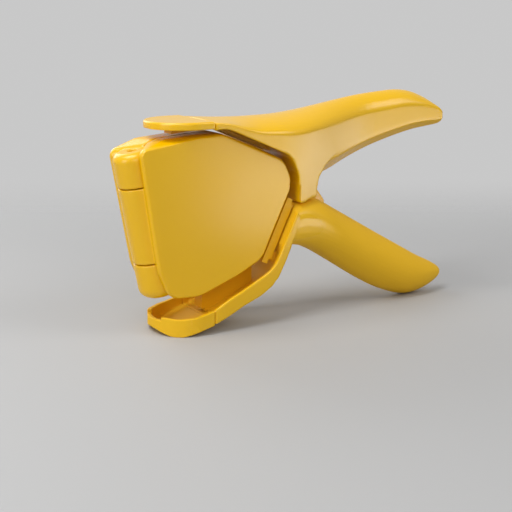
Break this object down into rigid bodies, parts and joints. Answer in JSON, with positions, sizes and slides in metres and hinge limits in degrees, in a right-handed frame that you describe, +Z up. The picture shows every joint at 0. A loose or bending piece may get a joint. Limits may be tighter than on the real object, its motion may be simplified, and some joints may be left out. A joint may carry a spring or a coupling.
{
  "type": "hinged lemon squeezer",
  "caption": "Yellow plastic hinged lemon squeezer: two crossed levers with trays, and a pair of jaws hinged at the nose.",
  "frame": {"origin": "centre of the bounding box at the height of the table that the spout and the lower grip rest on", "axes": "+X along the grips away from the nose, -Y the near side with the lower grip, +Z up"},
  "size_m": [0.2214, 0.043, 0.1266],
  "materials": {
    "yellow_plastic": "satin moulded",
    "inner_plastic": "fine moulded",
    "steel_pin": "turned"
  },
  "bodies": {
    "lower_lever": {"lower_handle": "yellow_plastic", "lower_spout": "yellow_plastic", "lower_handle_plate": "yellow_plastic", "lower_strainer": "inner_plastic", "neck_pin": "steel_pin", "jaw_pin": "steel_pin"},
    "upper_lever": {"upper_handle": "yellow_plastic", "upper_cap": "yellow_plastic", "upper_strainer": "inner_plastic"},
    "front_jaw_body": {"front_jaw": "yellow_plastic", "front_press_plate": "inner_plastic", "front_hinge_strip": "inner_plastic", "nose_pin": "steel_pin", "nose_pin_plug": "yellow_plastic"},
    "rear_jaw_body": {"rear_jaw": "yellow_plastic", "rear_press_plate": "inner_plastic"}
  },
  "joints": [
    {"name": "handle_pivot", "type": "hinge", "parent": "lower_lever", "child": "upper_lever", "pos_m": [0.00548, 0, 0.05], "axis": [0, 1, 0], "range_deg": [0, 30]},
    {"name": "jaw_hinge", "type": "hinge", "parent": "lower_lever", "child": "front_jaw_body", "pos_m": [-0.02489, -0.01, 0.03576], "axis": [0.4347, 0, 0.9006], "range_deg": [0, 8]},
    {"name": "nose_hinge", "type": "hinge", "parent": "front_jaw_body", "child": "rear_jaw_body", "pos_m": [-0.09932, 0, 0.098], "axis": [-0.1805, 0, 0.9836], "range_deg": [0, 50]}
  ]
}
